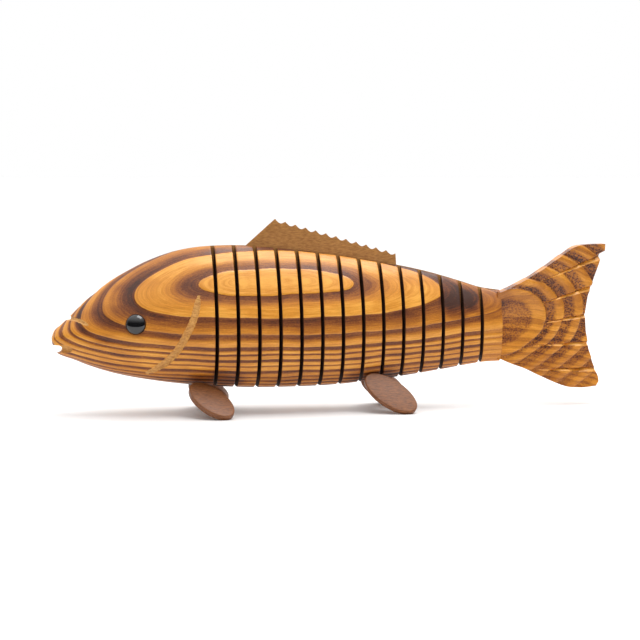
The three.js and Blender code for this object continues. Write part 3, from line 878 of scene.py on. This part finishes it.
def stripTop(x):
    flush = backZ(x) - strip["belowBack"]
    (peakX, peakZ), (rearX, rearZ) = dorsal["peak"], dorsal["rear"]
    front = np.interp(x, (dorsal["frontFoot"][0], peakX), (dorsal["frontFoot"][1] - 0.4, peakZ))
    tooth = (x - peakX) / (rearX - peakX) * (dorsal["teeth"] - 1)
    crest = peakZ + (rearZ - peakZ) * (x - peakX) / (rearX - peakX)
    crest = crest - dorsal["dip"] * np.sin(np.pi * (tooth - np.floor(tooth)))
    top = np.where(x < peakX, front, crest)
    standing = (x > dorsal["frontFoot"][0]) & (x < rearX)
    return np.where(standing, np.maximum(top, flush), flush)


# a flat grid stood on edge and given its thickness
def makeStripSheet(name, start, end):
    dropSelection()
    columns = max(int((end - start) / dorsal["step"]), 4)
    bpy.ops.mesh.primitive_grid_add(x_subdivisions=columns, y_subdivisions=dorsal["rows"], size=2)
    piece = named(name)

    def thicken():
        selectAll()
        bpy.ops.mesh.extrude_region_move(TRANSFORM_OT_translate={"value": (0, 0, 0.01)})
    editMesh(piece, thicken)
    points = readPoints(piece)
    x = start + (points[:, 0] + 1) / 2 * (end - start)
    share = (points[:, 1] + 1) / 2
    low = bellyZ(x) + strip["aboveBelly"]
    z = low + (stripTop(x) - low) * share ** 0.8
    half = strip["thick"] / 2 - dorsal["edge"] * smoothStep(0.97, 1.0, share) - dorsal["edge"] * smoothStep(0.03, 0, share)
    y = np.where(points[:, 2] > 0.005, half, -half)
    writePoints(piece, np.stack([x, y, z], -1) * mm)
    return editMesh(piece, facesOut)


def makeStrip():
    middles = [(slotX[i] + slotX[i + 1]) / 2 for i in range(body["slices"])]
    marks = [strip["front"]] + middles + [strip["rear"]]
    for i in range(body["slices"] + 1):
        piece = makeStripSheet(f"stripBend{i + 1:02d}", marks[i], marks[i + 1])
        coat(piece, finishes["leather"])
        smoothPiece(piece)
        nodes = [f"strip_{i:02d}" if i else "strip_head"]
        if i == body["slices"]:
            nodes.append("strip_tail")
        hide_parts(*nodes)
        reach = body["slotWidth"] / 2
        (slotX[i] - reach) * mm
        (slotX[i] + reach) * mm
        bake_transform(piece)


makeStrip()
print("strip and dorsal fin cut")

# paddle fins: oval boards glued under the body
frontFin = {"middle": (-68.8, -20.2, 8.9), "along": (0.67, -0.52, -0.53), "face": (0.14, -0.61, 0.78),
            "length": 28.6, "width": 16.6, "thick": 3.6, "body": "head", "own": (-89.06, -66.7)}
rearFin = {"middle": (27.0, -17.2, 10.2), "along": (0.77, -0.36, -0.53), "face": (0.04, -0.80, 0.60),
           "length": 32.0, "width": 16.2, "thick": 3.3, "body": "slice_09", "own": (24.54, 33.92)}
finMake = {"setback": 3, "clearance": 1.3, "bevel": 0.7}


def makeFin(fin, name, setback):
    dropSelection()
    bpy.ops.mesh.primitive_cylinder_add(vertices=96, radius=mm, depth=fin["thick"] * mm, end_fill_type="NGON")
    board = named(name)
    board.scale = (fin["length"] / 2, fin["width"] / 2, 1)
    settle(board)

    def roundEdges():
        bpy.ops.mesh.select_mode(type="EDGE")
        bpy.ops.mesh.select_all(action="DESELECT")
        bpy.ops.mesh.edges_select_sharp(sharpness=math.radians(50))
        bpy.ops.mesh.bevel(offset=finMake["bevel"] * mm, segments=5, affect="EDGES")
    editMesh(board, roundEdges)
    face = Vector(fin["face"]).normalized()
    along = Vector(fin["along"])
    along = (along - face * along.dot(face)).normalized()
    across = face.cross(along)
    middle = Vector(fin["middle"]) + Vector((setback, 0, 0))
    points = readPoints(board) / mm
    turned = np.outer(points[:, 0], along) + np.outer(points[:, 1], across) + np.outer(points[:, 2], face)
    writePoints(board, (turned + np.array(middle)) * mm)
    coat(board, finishes["finWood"])
    dropSelection()
    bpy.ops.mesh.primitive_cube_add(size=0.06, location=(middle[0] * mm, middle[1] * mm, -0.03))
    ground = settle(named("finGround"))
    own = skinStretch("finSeat", fin["own"][0], fin["own"][1], False, False, 1.5, False)
    combine(board, [ground])
    combine(board, [own])
    smoothPiece(board)
    return board


def makeFins():
    for fin, base, slot in ((frontFin, "Front", "front"), (rearFin, "Rear", "rear")):
        near = makeFin(fin, f"fin{base}Left", 0)
        farSide = mirroredCopy(makeFin(fin, f"fin{base}Far", finMake["setback"]), f"fin{base}Right")
        bpy.data.objects.remove(bpy.data.objects[f"fin{base}Far"])
        for piece, side in ((near, "left"), (farSide, "right")):
            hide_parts(f"fin_{slot}_{side}")
            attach(piece, fin["body"])


makeFins()
print("fins glued")

# studio: pale floor, soft light, the photograph's angle
studio = {
    "azimuth": -10, "elevation": 5, "distance": 0.9, "target": (-0.008, 0, 0.0486), "lens": 94.6,
    "floorTint": (0.86, 0.86, 0.86, 1), "floorFront": -0.5, "overhead": 1.6, "backdrop": 1.1, "room": 0.08,
    "boxPlace": (0.22, -0.08, 0.95), "boxSize": (0.8, 0.55), "boxPower": 6.5,
}


def makeCamera():
    turn, rise = math.radians(studio["azimuth"]), math.radians(studio["elevation"])
    away = Vector((math.sin(turn) * math.cos(rise), -math.cos(turn) * math.cos(rise), math.sin(rise)))
    target = Vector(studio["target"])
    dropSelection()
    bpy.ops.object.camera_add(location=target + away * studio["distance"])
    camera = bpy.context.object
    camera.rotation_euler = (-away).to_track_quat("-Z", "Y").to_euler()
    camera.data.lens = studio["lens"]
    camera.data.sensor_width = 36
    camera.data.clip_start = 0.01
    bpy.context.scene.camera = camera


def makeFloor():
    dropSelection()
    bpy.ops.mesh.primitive_plane_add(size=40, location=(0, 20 + studio["floorFront"], 0))
    floor = settle(named("studioFloor"))
    finish = Finish("pale floor", 0.6, specular=0.15)
    x, y, z = finish.place()
    cloud = finish.noise(finish.vector(x, y, z), 0.002, 1.0)
    tint = studio["floorTint"]
    finish.paint(Base_Color=finish.mix(tint, (tint[0] + 0.02, tint[1] + 0.02, tint[2] + 0.02, 1), cloud))
    coat(floor, finish.material)


# pale backdrop behind and above, darker room on the camera's side; the camera itself sees plain white
def makeLights():
    world = bpy.data.worlds.new("studioSky")
    bpy.context.scene.world = world
    world.use_nodes = True
    sky = NodeBench(world.node_tree)
    way = sky.node("ShaderNodeTexCoord", out="Generated")
    split = sky.node("ShaderNodeSeparateXYZ", {}, {0: way})
    y, z = (Wire(sky, split.socket.node.outputs[i]) for i in (1, 2))
    above = sky.mapped(z, 0.25, 0.95)
    behind = sky.mapped(y, -0.2, 0.6)
    level = studio["room"] + (studio["backdrop"] - studio["room"]) * behind * (1 - above)
    level = level + (studio["overhead"] - studio["room"]) * above
    seen = sky.node("ShaderNodeLightPath", out="Is Camera Ray")
    background = world.node_tree.nodes["Background"]
    sky.feed(background.inputs["Strength"], level * (1 - seen) + seen)
    sky.feed(background.inputs["Color"], (1, 1, 1, 1))
    dropSelection()
    bpy.ops.object.light_add(type="AREA", location=studio["boxPlace"])
    box = bpy.context.object
    box.data.shape = "RECTANGLE"
    box.data.size, box.data.size_y = studio["boxSize"]
    box.data.energy = studio["boxPower"]
    box.rotation_euler = (Vector((0, 0, 0.05)) - box.location).to_track_quat("-Z", "Y").to_euler()


makeCamera()
makeFloor()
makeLights()
bpy.context.scene.view_settings.view_transform = "Standard"
print("studio lit")
